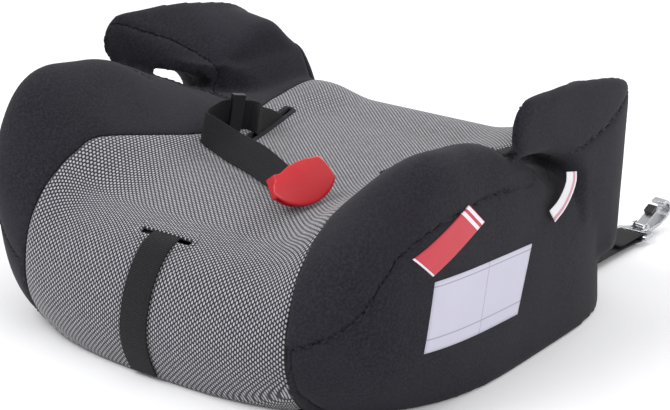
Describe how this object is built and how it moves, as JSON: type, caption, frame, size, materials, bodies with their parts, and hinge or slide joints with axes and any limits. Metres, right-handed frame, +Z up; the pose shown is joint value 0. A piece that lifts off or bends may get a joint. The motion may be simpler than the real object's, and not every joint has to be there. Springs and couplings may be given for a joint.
{
  "type": "booster seat",
  "caption": "Backless child car booster: padded seat with raised side bolsters and arms that hook the lap belt, adjuster strap, two anchor hooks and a shoulder-belt strap with clip",
  "frame": {"origin": "on the floor under the middle of the seat, on the flat foot of the shell's saddle", "axes": "+Z up, -Y towards the child's knees (front), +X towards the right side seen from the front"},
  "size_m": [0.4027, 0.5669, 0.2096],
  "materials": {
    "weave": "two-tone spacer weave",
    "knit": "brushed charcoal knit",
    "webbing": "ribbed polyester webbing",
    "shell": "moulded, fine texture",
    "foam": "open-cell foam, matte",
    "red_plastic": "moulded, glossy",
    "black_plastic": "moulded, satin",
    "steel": "zinc plated",
    "label": "printed woven label",
    "tag": "woven red tag"
  },
  "bodies": {
    "seat": {"centre_panel": "weave", "rear_panel": "knit", "right_side_panel": "knit", "left_side_panel": "knit", "right_arm_gusset": "knit", "left_arm_gusset": "knit", "right_bolster_panel": "knit", "left_bolster_panel": "knit", "cover_hem": "knit", "front_slot_edging": "weave", "right_slit_edging": "knit", "left_slit_edging": "knit", "side_tag": "tag", "instruction_patch": "label", "care_label": "label", "seat_shell": "shell", "seat_foam": "foam", "left_arm_foam": "foam", "right_arm_foam": "foam", "adjuster_frame": "steel", "adjuster_pin": "steel", "adjuster_rivet_1": "steel", "adjuster_rivet_2": "steel"},
    "cam": {"adjuster_cam": "steel"},
    "harness": {"adjust_strap": "webbing", "strap_yoke": "steel", "right_anchor_strap": "webbing", "left_anchor_strap": "webbing"},
    "right_anchor_hook": {"right_hook": "steel", "right_hook_pin": "steel"},
    "left_anchor_hook": {"left_hook": "steel", "left_hook_pin": "steel"},
    "right_gate": {"right_hook_gate": "steel", "right_hook_tab": "black_plastic"},
    "left_gate": {"left_hook_gate": "steel", "left_hook_tab": "black_plastic"},
    "positioner": {"belt_strap": "webbing"},
    "clip": {"belt_clip": "red_plastic"},
    "slider": {"strap_slider": "black_plastic"}
  },
  "joints": [
    {"name": "adjuster_cam_turn", "type": "hinge", "parent": "seat", "child": "cam", "pos_m": [-0.004, -0.092, 0.08], "axis": [1, 0, 0], "range_deg": [0, 20], "stiffness_Nm_per_rad": 0.1, "springref_deg": -11.46},
    {"name": "harness_slide", "type": "slide", "parent": "seat", "child": "harness", "axis": [0, -1, 0], "range_m": [0, 0.012]},
    {"name": "right_hook_lift", "type": "hinge", "parent": "harness", "child": "right_anchor_hook", "pos_m": [0.138, 0.305, 0.0066], "axis": [1, 0, 0], "range_deg": [0, 80]},
    {"name": "right_gate_press", "type": "hinge", "parent": "right_anchor_hook", "child": "right_gate", "pos_m": [0.13918, 0.32342, 0.0112], "axis": [0.9903, -0.1392, 0], "range_deg": [-20, 0], "stiffness_Nm_per_rad": 0.05, "springref_deg": 20.05},
    {"name": "left_hook_lift", "type": "hinge", "parent": "harness", "child": "left_anchor_hook", "pos_m": [-0.138, 0.305, 0.0066], "axis": [1, 0, 0], "range_deg": [0, 80]},
    {"name": "left_gate_press", "type": "hinge", "parent": "left_anchor_hook", "child": "left_gate", "pos_m": [-0.13918, 0.32342, 0.0112], "axis": [0.9903, 0.1392, 0], "range_deg": [-20, 0], "stiffness_Nm_per_rad": 0.05, "springref_deg": 20.05},
    {"name": "positioner_pull", "type": "slide", "parent": "seat", "child": "positioner", "axis": [0.2242, -0.8427, 0.4894], "range_m": [0, 0.012]},
    {"name": "clip_turn", "type": "hinge", "parent": "positioner", "child": "clip", "pos_m": [0.0467, -0.085, 0.133], "axis": [0, 0.9, 0.436], "range_deg": [-20, 0]},
    {"name": "slider_move", "type": "slide", "parent": "positioner", "child": "slider", "axis": [-0.4691, -0.8832, 0], "range_m": [-0.002, 0]}
  ]
}
